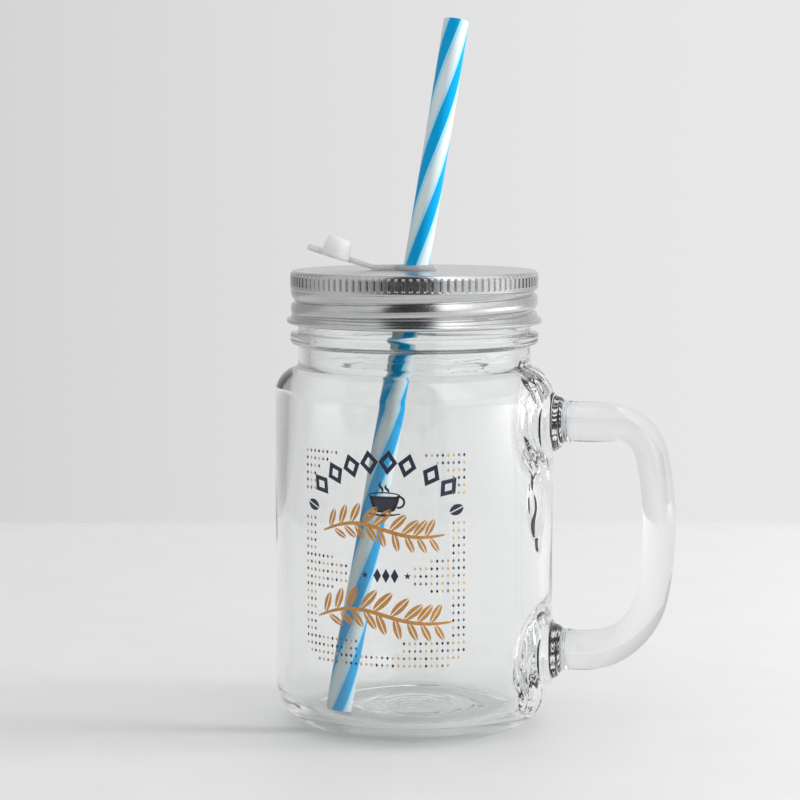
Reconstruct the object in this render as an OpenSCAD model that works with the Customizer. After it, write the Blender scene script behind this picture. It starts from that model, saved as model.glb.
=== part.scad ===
// Glass drinking jar with a side handle, a screw lid, a straw and a tethered stopper.
// Origin: centre of the base ring on the jar axis. +Z up, handle along +X, decoration faces -Y.

/* [Jar body] */
// outer radius of the straight jar wall
body_r = 39.65; // [38:0.05:42]
// thickness of the side wall
wall_t = 3.3; // [2.6:0.1:4]
// outer radius of the curved heel between wall and base
heel_r = 12; // [8:0.5:12.5]
// height of the inner floor above the resting plane
floor_z = 3.8; // [3.6:0.1:4.6]
// depth of the recess under the base
punt_depth = 1.2; // [0.8:0.1:1.6]
// height at which the straight wall turns into the shoulder
shoulder_z = 94.5; // [92:0.5:95]
// radius of the shoulder curve
shoulder_r = 7.9; // [7:0.1:8.2]

/* [Neck finish] */
// outer radius of the neck wall behind the thread
neck_r = 32.7; // [32.4:0.1:33]
// inner radius of the mouth
mouth_r = 29.8; // [29:0.1:30.2]
// height of the sealing rim
rim_z = 128.5; // [127.5:0.1:128.6]
// height of the middle of the glass collar under the lid
collar_z = 110.5; // [109.5:0.1:111]
// outer radius of the glass collar
collar_r = 35.3; // [34.5:0.1:35.6]

/* [Screw thread] */
// rise of the thread in one turn
thread_pitch = 5.08; // [4.6:0.02:5.4]
// crest radius of the glass thread
thread_crest_r = 34.3; // [34:0.05:34.4]
// length of the glass thread in turns
thread_turns = 1.4; // [1:0.1:1.6]
// height at which the glass thread starts
thread_start_z = 116.9; // [116.5:0.1:117.5]
// compass heading, from +X towards +Y, at which the glass thread starts
thread_start_heading = 150; // [0:5:355]

/* [Lid] */
// height of the outside of the lid panel
lid_top = 129.5; // [129.4:0.1:130.5]
// outer radius of the lid skirt
lid_r = 35.15; // [35.1:0.05:35.4]
// sheet thickness of the lid
sheet_t = 0.4; // [0.3:0.05:0.45]
// height of the middle of the rolled hem
hem_z = 115.4; // [114.6:0.1:116]
// outer radius of the rolled hem
hem_r = 36.25; // [36:0.05:36.6]
// number of grip ribs round the lid
rib_count = 108; // [60:4:120]
// radius of the straw hole in the lid
lid_hole_r = 5; // [4.8:0.1:5.3]

/* [Handle] */
// height of the upper arm of the handle
arm_top_z = 87.5; // [85:0.5:88.5]
// height of the lower arm of the handle
arm_low_z = 22.3; // [20:0.5:24]
// height at which the handle stands out furthest
bow_mid_z = 57.7; // [54:0.5:60]
// distance from the jar axis to the middle of the rod at its furthest
bow_reach = 70.5; // [66:0.5:76]
// thickness of the rod seen from the side
rod_t = 10; // [8:0.5:11]
// width of the rod seen from the front
rod_w = 11.5; // [11:0.5:14]

/* [Straw] */
// outer radius of the straw
straw_r = 3.6; // [3.2:0.05:3.7]
// wall thickness of the straw
straw_wall = 0.6; // [0.4:0.05:0.9]
// length of the straw
straw_len = 200; // [185:1:215]
// tilt of the straw away from upright
straw_tilt = 12.1; // [9:0.1:12.4]
// compass heading, from +X towards +Y, that the top of the straw leans to
straw_heading = 51; // [0:1:90]
// length of straw below the lid panel
straw_below = 126.8; // [120:0.1:126.9]

/* [Grommet and stopper] */
// outer radius of the flange above the lid
flange_r = 5.9; // [5.6:0.1:6.5]
// height of the upper flange
flange_t = 1.4; // [1:0.1:1.8]
// compass heading of the stopper's strap
strap_heading = 193.5; // [180:0.5:225]
// distance from the straw hole to the fold of the strap
fold_d = 11.5; // [11:0.1:13]
// thickness of the strap
strap_t = 1.1; // [0.9:0.1:1.3]
// upward tilt of the stopper end of the strap
strap_tilt = 17.5; // [10:0.5:25]
// radius of the stopper plug at its base
plug_r = 4; // [3.7:0.1:4.3]
// height of the stopper plug above its plate
plug_h = 5; // [4:0.5:6]

/* [Decoration] */
// thickness of the printed colour
ink_t = 0.2; // [0.15:0.05:0.3]

/* [Hidden] */
$fn = 96;

glass_col = [0.86, 0.91, 0.92, 0.45];
tin_col = [0.75, 0.76, 0.77];
seal_col = [0.90, 0.89, 0.86];
silicone_col = [0.94, 0.95, 0.95];
straw_col = [0.10, 0.62, 0.85];
navy = [0.12, 0.15, 0.24];
ochre = [0.80, 0.56, 0.25];

eps = 0.01;                      // overlap that keeps joined shapes one solid
inner_r = body_r - wall_t;
inner_heel_r = 12;
inner_shoulder_r = 6;
foot_outer_r = body_r - heel_r;
foot_width = 3.4;
punt_slope = 2;
lip_r = (neck_r - mouth_r) / 2;
collar_half = 1.7;
neck_fillet = 1.6;

// centre of the curve that blends the neck into the shoulder
fillet_c = [neck_r + neck_fillet,
            shoulder_z + sqrt(pow(shoulder_r + neck_fillet, 2)
                              - pow(neck_r + neck_fillet - body_r + shoulder_r, 2))];
shoulder_c = [body_r - shoulder_r, shoulder_z];
fillet_touch = shoulder_c + (fillet_c - shoulder_c) * shoulder_r / (shoulder_r + neck_fillet);

// handle joints
boss_face_x = 42.2;              // plane where the rod is fused to the jar
boss_root_x = 37.3;
boss_root_r = 9.8;
boss_face_r = 7.7;
flare_len = 4;
corner_r = 11;                   // bend at the upper arm
upper_turn = 77;                 // angle of that bend
lower_sweep = 12;                // part of the long bow below its widest point
bow_r = (arm_top_z - corner_r * (1 - cos(upper_turn)) - bow_mid_z) / cos(upper_turn);
bow_c = [bow_reach - bow_r, bow_mid_z];
corner_c = [bow_c[0] + (bow_r - corner_r) * sin(upper_turn), arm_top_z - corner_r];
low_start = [bow_c[0] + bow_r * cos(lower_sweep), bow_mid_z - bow_r * sin(lower_sweep)];
low_r = (low_start[1] - arm_low_z) / (1 - sin(lower_sweep));
low_c = [low_start[0] - low_r * cos(lower_sweep), arm_low_z + low_r];

// thread shapes
seg_per_turn = 40;
taper_segs = 6;
thread_root_half = 1.3;
thread_crest_half = 0.5;
bead_drop = 2.1;                 // the lid's bead runs this far under the glass thread
bead_delay = 110;                // the bead starts this far round from the start of the thread
bead_crest_r = 33.55;
bead_root_half = 0.8;
bead_crest_half = 0.35;
bead_turns = 1.1;
groove_depth = 0.7;

// lid details
lid_corner = 1.2;
hem_tube = 0.85;
rib_low_z = 123.2;
rib_high_z = 128.2;
rib_out = 0.35;
liner_inner_r = 28.9;
liner_gap = 0.05;
liner_t = lid_top - sheet_t - rim_z - 2 * liner_gap;

// grommet details
low_flange_r = 6.6;
low_flange_t = 1.4;
bore_clearance = 0.05;
strap_w = 4.4;
strap_lift = 0.2;                // gap between strap and lid panel
fold_gap = 0.07;
fold_z = lid_top + strap_lift + strap_t / 2;
plate_d = 11.5;                  // fold line to the middle of the plug
plate_r = 4.9;
tab_len = 19.6;                  // fold line to the tip of the pull tab
tab_w = 5;
tab_t = 0.9;
dome_drop = 1.6;

// decoration layout, as heights and as distances along the curved wall
ink_gap = 0.02;
ink_r = body_r + ink_gap;
cup_x = 1.2;
cup_z = 64.5;
arch_x = 0.5;
arch_z = 52.1;
arch_rad = 27.9;
arch_angles = [42, 30, 18.5, 7.5, -3.5, -14.5, -29, -41];
lozenge_h = 6.6;
lozenge_w = 4.7;
line_w = 1.3;
bean_x = 21.7;
bean_z = 67.7;
sprig_z = [60.5, 37];
border_x = 21.9;
border_rows = 22;
border_low_z = 26.5;
border_pitch = 2.45;
dot_w = 0.95;

// ---- shared shapes ----

// ring-shaped ridge that climbs round the axis; points follow one helix
module helix_ridge(root_r, crest_r, root_half, crest_half, turns, z0) {
    n = round(turns * seg_per_turn);
    step = 360 / seg_per_turn;
    function fade(i) = min(1, 0.15 + min(i, n - i) / taper_segs);
    function ring(i) = let (a = i * step, z = z0 + thread_pitch * a / 360,
                            rc = root_r + (crest_r - root_r) * fade(i))
        [for (q = [[root_r, -root_half], [rc, -crest_half], [rc, crest_half], [root_r, root_half]])
            [q[0] * cos(a), q[0] * sin(a), z + q[1]]];
    pts = [for (i = [0:n]) each ring(i)];
    sides = [for (i = [0:n - 1]) for (k = [0:3])
        let (a = 4 * i + k, b = 4 * i + (k + 1) % 4)
        each [[a, a + 4, b + 4], [a, b + 4, b]]];
    caps = [[0, 1, 2], [0, 2, 3], [4 * n + 2, 4 * n + 1, 4 * n], [4 * n + 3, 4 * n + 2, 4 * n]];
    all_faces = concat(sides, caps);
    inward = crest_r < root_r;
    polyhedron(points = pts,
               faces = inward ? all_faces : [for (f = all_faces) [f[2], f[1], f[0]]],
               convexity = 8);
}

// outline of a cup turned upside down: straight side, rounded top corner
module cap_outline(r, top, corner, low) {
    translate([0, low]) square([r, top - corner - low]);
    translate([0, low]) square([r - corner, top - low]);
    translate([r - corner, top - corner]) circle(r = corner);
}

// ---- jar ----

module jar_outer_2d() {
    translate([0, heel_r]) square([body_r, shoulder_z - heel_r]);
    square([foot_outer_r, heel_r + eps]);
    translate([foot_outer_r, heel_r]) circle(r = heel_r);
    translate(shoulder_c) circle(r = shoulder_r);
    translate([0, shoulder_z]) square([shoulder_c[0], shoulder_r]);
    translate([0, shoulder_z]) square([neck_r, rim_z - lip_r - shoulder_z]);
    translate([neck_r - lip_r, rim_z - lip_r]) circle(r = lip_r);
    difference() {
        polygon([[neck_r - 1, shoulder_z], fillet_touch, fillet_c, [neck_r - 1, fillet_c[1]]]);
        translate(fillet_c) circle(r = neck_fillet);
    }
    translate([neck_r - 1, collar_z - collar_half])
        square([collar_r - collar_half - neck_r + 1, 2 * collar_half]);
    translate([collar_r - collar_half, collar_z]) circle(r = collar_half);
}

module jar_inner_2d() {
    heel_cz = floor_z + inner_heel_r;
    shoulder_cz = shoulder_z - 0.4;
    translate([0, heel_cz]) square([inner_r, shoulder_cz - heel_cz]);
    translate([0, floor_z]) square([inner_r - inner_heel_r, inner_heel_r + eps]);
    translate([inner_r - inner_heel_r, heel_cz]) circle(r = inner_heel_r);
    translate([inner_r - inner_shoulder_r, shoulder_cz]) circle(r = inner_shoulder_r);
    translate([0, shoulder_cz - eps]) square([inner_r - inner_shoulder_r, inner_shoulder_r + eps]);
    translate([0, shoulder_cz]) square([mouth_r, rim_z - shoulder_cz - lip_r]);
    translate([0, rim_z - lip_r - eps]) square([mouth_r, 2 * lip_r]);
}

module punt_2d() {
    punt_r = foot_outer_r - foot_width;
    translate([0, -1]) square([punt_r, 1 + eps]);
    polygon([[0, 0], [punt_r, 0], [punt_r - punt_slope, punt_depth], [0, punt_depth]]);
}

// raised seat on the wall where one arm of the handle is fused
module boss(z) {
    translate([boss_root_x, 0, z]) rotate([0, 90, 0])
        cylinder(r1 = boss_root_r, r2 = boss_face_r, h = boss_face_x - boss_root_x);
}

module jar_glass() {
    color(glass_col) {
        rotate_extrude() difference() {
            jar_outer_2d();
            jar_inner_2d();
            punt_2d();
        }
        boss(arm_top_z);
        boss(arm_low_z);
        rotate(thread_start_heading)
            helix_ridge(neck_r - 0.4, thread_crest_r, thread_root_half, thread_crest_half,
                        thread_turns, thread_start_z);
    }
}

// ---- handle ----

// middle line of the rod in the plane of the handle, from the upper boss to the lower one:
// each point is [distance from the jar axis, height, heading in degrees]
function bend(centre, r, from, to, n) =
    [for (i = [0:n]) let (a = from + (to - from) * i / n)
        [centre[0] + r * cos(a), centre[1] + r * sin(a), a - 90]];
rod_path = concat(
    [for (x = [0, 1, 2.5, flare_len]) [boss_face_x + x, arm_top_z, 0]],
    bend(corner_c, corner_r, 90, 90 - upper_turn, 7),
    bend(bow_c, bow_r, 90 - upper_turn - 4, -lower_sweep + 4, 5),
    bend(low_c, low_r, -lower_sweep, -90, 8),
    [for (x = [flare_len, 2.5, 1, 0]) [boss_face_x + x, arm_low_z, -180]]);

// the rod swells to the size of the boss where it was fused
function flare(x) = pow(max(0, 1 - (x - boss_face_x) / flare_len), 2);

module handle() {
    sides = 20;
    last = len(rod_path) - 1;
    pts = [for (p = rod_path)
        let (f = flare(p[0]),
             half_t = rod_t / 2 * (1 - f) + boss_face_r * f,
             half_w = rod_w / 2 * (1 - f) + boss_face_r * f)
        for (k = [0:sides - 1])
            let (a = 360 * k / sides, t = half_t * cos(a))
            [p[0] - t * sin(p[2]), half_w * sin(a), p[1] + t * cos(p[2])]];
    walls = [for (i = [0:last - 1]) for (k = [0:sides - 1])
        let (a = sides * i + k, b = sides * i + (k + 1) % sides)
        each [[a, b, b + sides], [a, b + sides, a + sides]]];
    ends = [[for (k = [sides - 1:-1:0]) k], [for (k = [0:sides - 1]) sides * last + k]];
    color(glass_col) polyhedron(points = pts, faces = concat(walls, ends), convexity = 6);
}

// ---- lid ----

module grip_ribs() {
    step = 360 / rib_count;
    outline = [for (i = [0:rib_count - 1]) for (k = [0:3])
        let (a = (i + [0, 0.22, 0.5, 0.72][k]) * step,
             r = lid_r + [-0.02, rib_out, rib_out, -0.02][k])
        [r * cos(a), r * sin(a)]];
    translate([0, 0, rib_low_z]) difference() {
        linear_extrude(rib_high_z - rib_low_z) polygon(outline);
        translate([0, 0, -1])
            cylinder(r = lid_r - sheet_t / 2, h = rib_high_z - rib_low_z + 2, $fn = 360);
    }
}

module lid_shell() {
    skirt_in = lid_r - sheet_t;
    bead_z = thread_start_z - bead_drop + thread_pitch * bead_delay / 360;
    bead_heading = thread_start_heading + bead_delay;
    color(tin_col) {
        difference() {
            union() {
                rotate_extrude() difference() {
                    cap_outline(lid_r, lid_top, lid_corner, hem_z);
                    cap_outline(skirt_in, lid_top - sheet_t, lid_corner - sheet_t, hem_z - 1);
                    translate([0, lid_top - 1]) square([lid_hole_r, 2]);
                }
                rotate_extrude() translate([hem_r - hem_tube, hem_z]) circle(r = hem_tube);
                rotate(bead_heading)
                    helix_ridge(skirt_in + sheet_t / 2, bead_crest_r, bead_root_half,
                                bead_crest_half, bead_turns, bead_z);
            }
            rotate(bead_heading)
                helix_ridge(lid_r + 0.3, lid_r - groove_depth, bead_root_half,
                            bead_crest_half / 2, bead_turns, bead_z);
        }
        grip_ribs();
    }
}

module lid_liner() {
    color(seal_col) translate([0, 0, rim_z + liner_gap]) difference() {
        cylinder(r = lid_r - sheet_t - 1, h = liner_t);
        translate([0, 0, -1]) cylinder(r = liner_inner_r, h = liner_t + 2);
    }
}

// ---- grommet, strap and stopper ----

// turns the lid-top frame to the straw's own axis
module along_straw() {
    translate([0, 0, lid_top]) rotate([0, 0, straw_heading]) rotate([0, straw_tilt, 0]) children();
}

module grommet() {
    neck_len = flange_t + sheet_t + low_flange_t;
    color(silicone_col) difference() {
        union() {
            translate([0, 0, lid_top]) cylinder(r = flange_r, h = flange_t - 0.4);
            translate([0, 0, lid_top + flange_t - 0.4])
                cylinder(r1 = flange_r, r2 = flange_r - 0.4, h = 0.4);
            translate([0, 0, lid_top + flange_t - neck_len]) cylinder(r = lid_hole_r, h = neck_len);
            translate([0, 0, lid_top - sheet_t - low_flange_t])
                cylinder(r = low_flange_r, h = low_flange_t);
        }
        along_straw() translate([0, 0, -10]) cylinder(r = straw_r + bore_clearance, h = 20);
    }
}

// local frame of the strap: x outwards along it, z up, origin on the fold line
module at_fold(tilt) {
    rotate([0, 0, strap_heading]) translate([fold_d, 0, fold_z]) rotate([0, -tilt, 0]) children();
}

module strap_root() {
    root_end = strap_t / 2 + fold_gap;
    color(silicone_col) difference() {
        at_fold(0) translate([-fold_d, -strap_w / 2, -strap_t / 2])
            cube([fold_d - root_end, strap_w, strap_t]);
        cylinder(r = flange_r, h = 2 * lid_top);
    }
}

module strap() {
    color(silicone_col) at_fold(strap_tilt) {
        difference() {
            union() {
                translate([0, -strap_w / 2, -strap_t / 2]) cube([plate_d, strap_w, strap_t]);
                translate([plate_d, 0, -strap_t / 2]) cylinder(r = plate_r, h = strap_t);
            }
            translate([plate_d, -tab_w, -strap_t])
                cube([plate_r + 1, 2 * tab_w, 2 * strap_t]);
        }
        rotate([90, 0, 0]) cylinder(d = strap_t, h = strap_w, center = true);
    }
}

module stopper_plug() {
    color(silicone_col) at_fold(strap_tilt) translate([plate_d, 0, strap_t / 2]) {
        cylinder(r1 = plug_r, r2 = plug_r - 0.35, h = plug_h - dome_drop);
        translate([0, 0, plug_h - dome_drop]) intersection() {
            cylinder(r = plug_r - 0.35, h = dome_drop);
            translate([0, 0, dome_drop - plug_r * 1.45]) sphere(r = plug_r * 1.45);
        }
    }
}

module pull_tab() {
    end_x = tab_len - tab_w / 2;
    color(silicone_col) at_fold(strap_tilt) difference() {
        union() {
            translate([plate_d, 0, -strap_t / 2]) cylinder(r = plate_r, h = strap_t);
            translate([plate_d, -tab_w / 2, -tab_t / 2]) cube([end_x - plate_d, tab_w, tab_t]);
            translate([end_x, 0, -tab_t / 2]) cylinder(d = tab_w, h = tab_t);
        }
        translate([plate_d - 2 * plate_r, -2 * plate_r, -strap_t])
            cube([2 * plate_r, 4 * plate_r, 2 * strap_t]);
    }
}

module straw() {
    color(straw_col) along_straw() translate([0, 0, -straw_below]) difference() {
        cylinder(r = straw_r, h = straw_len);
        translate([0, 0, -1]) cylinder(r = straw_r - straw_wall, h = straw_len + 2);
    }
}

// ---- decoration ----

// puts a flat motif on the front wall: s is the distance round the wall, z the height
module on_wall(s, z, turn = 0) {
    translate([body_r * sin(s / body_r * 180 / PI), z]) rotate(turn) children();
}

// keeps the thin skin of a motif that lies on the front of the wall
module ink() {
    intersection() {
        difference() {
            translate([0, 0, floor_z]) cylinder(r = ink_r + ink_t, h = shoulder_z - floor_z);
            translate([0, 0, floor_z - 1]) cylinder(r = ink_r, h = shoulder_z - floor_z + 2);
        }
        translate([0, -1, 0]) rotate([90, 0, 0]) linear_extrude(2 * body_r) children();
    }
}

// a pointed oval, the shape shared by leaves and beans
module leaf_2d(len, wid) {
    r = (len * len / 4 + wid * wid / 4) / wid;
    intersection() {
        translate([0, r - wid / 2]) circle(r = r);
        translate([0, wid / 2 - r]) circle(r = r);
    }
}

module lozenge_2d() {
    function tips(w, h) = [[w / 2, 0], [0, h / 2], [-w / 2, 0], [0, -h / 2]];
    difference() {
        polygon(tips(lozenge_w, lozenge_h));
        polygon(tips(lozenge_w - 2 * line_w, lozenge_h - 2.6 * line_w));
    }
}

module star_2d(r) {
    polygon([for (i = [0:9]) let (q = i % 2 == 0 ? r : r * 0.42)
        [q * sin(36 * i), q * cos(36 * i)]]);
}

module bean_2d() {
    difference() {
        leaf_2d(4.4, 2.9);
        square([2.6, 0.35], center = true);
    }
}

module cup_2d() {
    difference() {
        intersection() {
            translate([0, 5.2]) circle(r = 4.4);
            translate([-5, 0.8]) square([10, 5.2]);
        }
        translate([0, 5.7]) square([6.4, 0.35], center = true);
    }
    difference() {
        translate([4.3, 3.9]) circle(r = 1.6);
        translate([4.3, 3.9]) circle(r = 0.9);
        translate([0, 5.2]) circle(r = 4.4);
    }
    translate([-4.2, 0]) square([8.4, 0.6]);
    for (x = [-1.1, 0.9]) translate([x, 7.8]) rotate(68) leaf_2d(3, 0.8);
}

// leafy twig: a gently curved stem with pairs of leaves
module sprig_2d() {
    stem_r = 52;
    translate([0, stem_r - 4]) difference() {
        circle(r = stem_r);
        circle(r = stem_r - 0.9);
        translate([-2 * stem_r, -0.95 * stem_r]) square([4 * stem_r, 2 * stem_r]);
    }
    for (i = [-3:3]) {
        x = i * 4.6;
        z = stem_r - 4 - sqrt(stem_r * stem_r - x * x);
        translate([x + 1.2, z + 2.9]) rotate(62) leaf_2d(6, 2.3);
        translate([x + 2, z - 2.2]) rotate(-52) leaf_2d(5, 2);
    }
}

// rows and columns of small diamonds that frame the picture; every fifth one is ochre
module border_2d(in_ochre) {
    sides = [for (c = [0, 1]) for (k = [0:border_rows]) for (m = [-1, 1])
        let (z = border_low_z + k * border_pitch)
        if (abs(z - bean_z) > 1.2 * border_pitch)
            [m * (border_x + c * border_pitch), z, k + 2 * c + m]];
    bottom = [for (row = [0, 1]) for (k = [-8:8])
        [k * border_pitch, border_low_z + (row - 1) * border_pitch, 3 * k + row + 30]];
    for (p = concat(sides, bottom))
        if (((p[2] + 5) % 5 == 0) == in_ochre)
            on_wall(p[0], p[1], 45) square(dot_w * 0.8, center = true);
}

module print_navy() {
    color(navy) ink() {
        for (a = arch_angles)
            on_wall(arch_x - arch_rad * sin(a), arch_z + arch_rad * cos(a), a) lozenge_2d();
        for (m = [-1, 1]) on_wall(m * bean_x, bean_z, m * 35) bean_2d();
        on_wall(cup_x, cup_z) cup_2d();
        on_wall(cup_x, 48.7) square([6.6, 3.4], center = true);
        for (s = [-5.6, 5.6]) on_wall(cup_x + s, 48.7) star_2d(1.1);
        border_2d(false);
    }
}

module print_ochre() {
    color(ochre) ink() {
        for (z = sprig_z) on_wall(0, z) sprig_2d();
        border_2d(true);
    }
}

jar_glass();
handle();
lid_shell();
lid_liner();
grommet();
strap_root();
strap();
stopper_plug();
pull_tab();
straw();
print_navy();
print_ochre();
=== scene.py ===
from math import acos, atan2, ceil, cos, degrees, hypot, pi, radians, sin, sqrt, tan

import bmesh
import bpy
import numpy as np
from mathutils import Matrix, Vector


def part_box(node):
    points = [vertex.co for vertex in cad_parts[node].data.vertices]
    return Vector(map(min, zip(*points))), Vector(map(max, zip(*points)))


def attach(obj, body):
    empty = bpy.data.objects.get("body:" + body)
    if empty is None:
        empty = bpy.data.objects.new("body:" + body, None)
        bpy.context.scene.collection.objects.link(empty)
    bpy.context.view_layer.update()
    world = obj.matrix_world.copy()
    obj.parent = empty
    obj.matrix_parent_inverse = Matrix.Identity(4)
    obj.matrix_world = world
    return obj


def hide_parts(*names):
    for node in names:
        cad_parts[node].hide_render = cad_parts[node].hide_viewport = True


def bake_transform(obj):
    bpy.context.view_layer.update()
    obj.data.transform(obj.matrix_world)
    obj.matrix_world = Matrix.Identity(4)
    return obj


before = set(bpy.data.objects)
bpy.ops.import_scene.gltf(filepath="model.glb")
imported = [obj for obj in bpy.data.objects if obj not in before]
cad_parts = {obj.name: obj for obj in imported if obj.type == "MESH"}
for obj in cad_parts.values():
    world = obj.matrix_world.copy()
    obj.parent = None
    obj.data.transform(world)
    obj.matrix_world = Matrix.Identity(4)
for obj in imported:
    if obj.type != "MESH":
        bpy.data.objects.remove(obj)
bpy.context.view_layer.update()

MM = 0.001

# ---- sizes in millimetres, from the CAD model, with a few fitted to the photo ----
BODY_R = 39.65          # outside of the straight wall
INNER_R = 36.3          # inside of the wall
NECK_R = 33.1
FINISH_R = 33.0         # glass above the collar
MOUTH_R = 29.8
COLLAR_R = 35.3
COLLAR_Z = 110.5
SHOULDER_C = (31.75, 94.5)
SHOULDER_R = 7.9
NECK_FILLET = 1.6
FLOOR_Z = 3.4
HEEL = (28.5, 12.5)     # middle of the oval curve between wall and base, outside
INNER_HEEL = (24.5, 8.8, 11.8)  # the same inside: its middle's radius, half height, half width
PITCH = 5.08            # rise of the screw thread in one turn
THREAD_TURNS = 1.4
THREAD_HEADING = 150.0  # where the thread starts, in degrees round the neck
THREAD_Z = 116.9
THREAD_CREST = 1.3      # how far the thread stands out
LID_R = 35.15
SHEET = 0.25            # thickness of the lid's metal
HEM_C = (35.45, 115.35) # middle of the curl at the lid's lower edge
HEM_TUBE = 0.8
RIBS = 108              # upright grip slots round the lid
ARM_TOP_Z = 87.5        # middle of the handle's upper and lower arm
ARM_LOW_Z = 22.3
STRAW_R = 3.6
STRAW_WALL = 0.6
STRAW_TILT = 12.2       # degrees from upright, and the side it leans to
STRAW_HEADING = 51.0
STRAW_BOW = 0.5         # how far the soft straw's upper end is bent aside
HOLE = (0.38, 0.09)     # the grommet and the straw sit a little off the lid's middle
STRAW_BELOW = 127.6     # length under and over the lid's top
STRAW_ABOVE = 72.1
STRAP_HEADING = 193.5   # degrees round the lid, and the slope of the strap past its fold
STRAP_TILT = 17.5
FOLD_D = 11.5           # from the lid's axis to the fold of the strap
STRAP_T = 1.1

RIM_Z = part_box("jar_glass")[1][2] / MM
LID_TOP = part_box("lid_shell")[1][2] / MM
VIEW_AZIMUTH = 13.5     # the front faces -Y; the picture is taken from this far towards the handle


# ---- mesh helpers ----

def arc(centre, radius, start, end, count):
    """Points of a circular arc, angles in degrees."""
    angles = np.radians(np.linspace(start, end, count))
    return [(centre[0] + radius * cos(a), centre[1] + radius * sin(a)) for a in angles]


def oval(centre, half_w, half_h, start, end, count):
    """Points of an elliptical arc, angles in degrees."""
    angles = np.radians(np.linspace(start, end, count))
    return [(centre[0] + half_w * cos(a), centre[1] + half_h * sin(a)) for a in angles]


def rounded(corners):
    """A polyline through corners (x, y, fillet radius), with an arc at each rounded corner."""
    out = []
    for i, (x, y, radius) in enumerate(corners):
        p = np.array((x, y), float)
        if i in (0, len(corners) - 1) or radius == 0:
            out.append((x, y))
            continue
        a = np.array(corners[i - 1][:2]) - p
        b = np.array(corners[i + 1][:2]) - p
        room = 0.49 * min(np.linalg.norm(a), np.linalg.norm(b))
        a, b = a / np.linalg.norm(a), b / np.linalg.norm(b)
        half = acos(np.clip(a @ b, -1, 1)) / 2
        reach = min(radius / tan(half), room)
        radius = reach * tan(half)
        centre = p + (a + b) / np.linalg.norm(a + b) * radius / sin(half)
        u, v = p + a * reach - centre, p + b * reach - centre
        start = degrees(atan2(u[1], u[0]))
        turn = (degrees(atan2(v[1], v[0])) - start + 180) % 360 - 180
        out += arc(centre, radius, start, start + turn, max(3, int(abs(turn) / 9) + 1))
    return out


def dense(points, step):
    """The same polyline with no piece longer than step."""
    out = [points[0]]
    for a, b in zip(points, points[1:]):
        n = max(1, ceil(hypot(b[0] - a[0], b[1] - a[1]) / step))
        out += [(a[0] + (b[0] - a[0]) * k / n, a[1] + (b[1] - a[1]) * k / n)
                for k in range(1, n + 1)]
    return out


def smoothstep(x, low, high):
    """0 up to low, 1 from high, and a smooth rise between them."""
    t = np.clip((x - low) / (high - low), 0, 1)
    return t * t * (3 - 2 * t)


def mesh_object(name, verts_mm, faces):
    """A new object from vertices in millimetres, smooth, with its normals outwards."""
    mesh = bpy.data.meshes.new(name)
    mesh.from_pydata([tuple(v) for v in np.asarray(verts_mm) * MM], [], faces)
    bm = bmesh.new()
    bm.from_mesh(mesh)
    bmesh.ops.remove_doubles(bm, verts=bm.verts, dist=1e-7)
    bmesh.ops.recalc_face_normals(bm, faces=bm.faces)
    bm.to_mesh(mesh)
    bm.free()
    mesh.shade_smooth()
    obj = bpy.data.objects.new(name, mesh)
    bpy.context.scene.collection.objects.link(obj)
    return obj


def lathe(name, profile, columns, shape=None, loop=False):
    """Turns a profile of (radius, height) round Z. shape(r, z, theta, index) moves the grid."""
    r = np.array([p[0] for p in profile])
    z = np.array([p[1] for p in profile])
    count = len(profile)
    theta = np.arange(columns) * 2 * pi / columns
    grid_t, grid_r = np.meshgrid(theta, r, indexing="ij")
    grid_z = np.broadcast_to(z, grid_r.shape).copy()
    if shape:
        grid_r, grid_z = shape(grid_r, grid_z, grid_t, np.arange(count))
    verts = np.stack([grid_r * np.cos(grid_t), grid_r * np.sin(grid_t), grid_z], -1)
    rows = count if loop else count - 1
    faces = []
    for j in range(columns):
        a, b = j * count, (j + 1) % columns * count
        faces += [(a + i, b + i, b + (i + 1) % count, a + (i + 1) % count) for i in range(rows)]
    return mesh_object(name, verts.reshape(-1, 3), faces)


def tube_faces(rings, sides):
    """Faces of a closed tube whose vertices come ring by ring."""
    faces = []
    for i in range(rings - 1):
        a, b = i * sides, (i + 1) * sides
        faces += [(a + k, a + (k + 1) % sides, b + (k + 1) % sides, b + k) for k in range(sides)]
    return faces + [tuple(range(sides)), tuple((rings - 1) * sides + k for k in range(sides))]


def evaluated_mesh(obj):
    """Applies the object's modifiers to its own mesh."""
    graph = bpy.context.evaluated_depsgraph_get()
    mesh = bpy.data.meshes.new_from_object(obj.evaluated_get(graph))
    obj.modifiers.clear()
    obj.data = mesh


def unite(obj, *others):
    """Fuses closed meshes into one."""
    for other in others:
        mod = obj.modifiers.new("join", "BOOLEAN")
        mod.operation, mod.solver, mod.object = "UNION", "MANIFOLD", other
        evaluated_mesh(obj)
        bpy.data.objects.remove(other)
    return obj


def add_piece(obj, body, material, replaces=()):
    """Gives a piece its body and its material, and hides the nodes it stands for."""
    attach(obj, body)
    if replaces:
        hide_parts(*replaces)
    obj.data.materials.clear()
    obj.data.materials.append(material)


# ---- materials ----

def new_material(name, **sockets):
    """A Principled material with constant values set on the shader's own sockets."""
    mat = bpy.data.materials.new(name)
    mat.use_nodes = True
    shader = mat.node_tree.nodes["Principled BSDF"]
    for key, value in sockets.items():
        shader.inputs[key.replace("_", " ")].default_value = value
    return mat, mat.node_tree, shader


def add_node(tree, kind, **values):
    """A new node; values are its settings or its unlinked inputs."""
    node = tree.nodes.new(kind)
    for key, value in values.items():
        if hasattr(node, key):
            setattr(node, key, value)
        else:
            node.inputs[key].default_value = value
    return node


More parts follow.
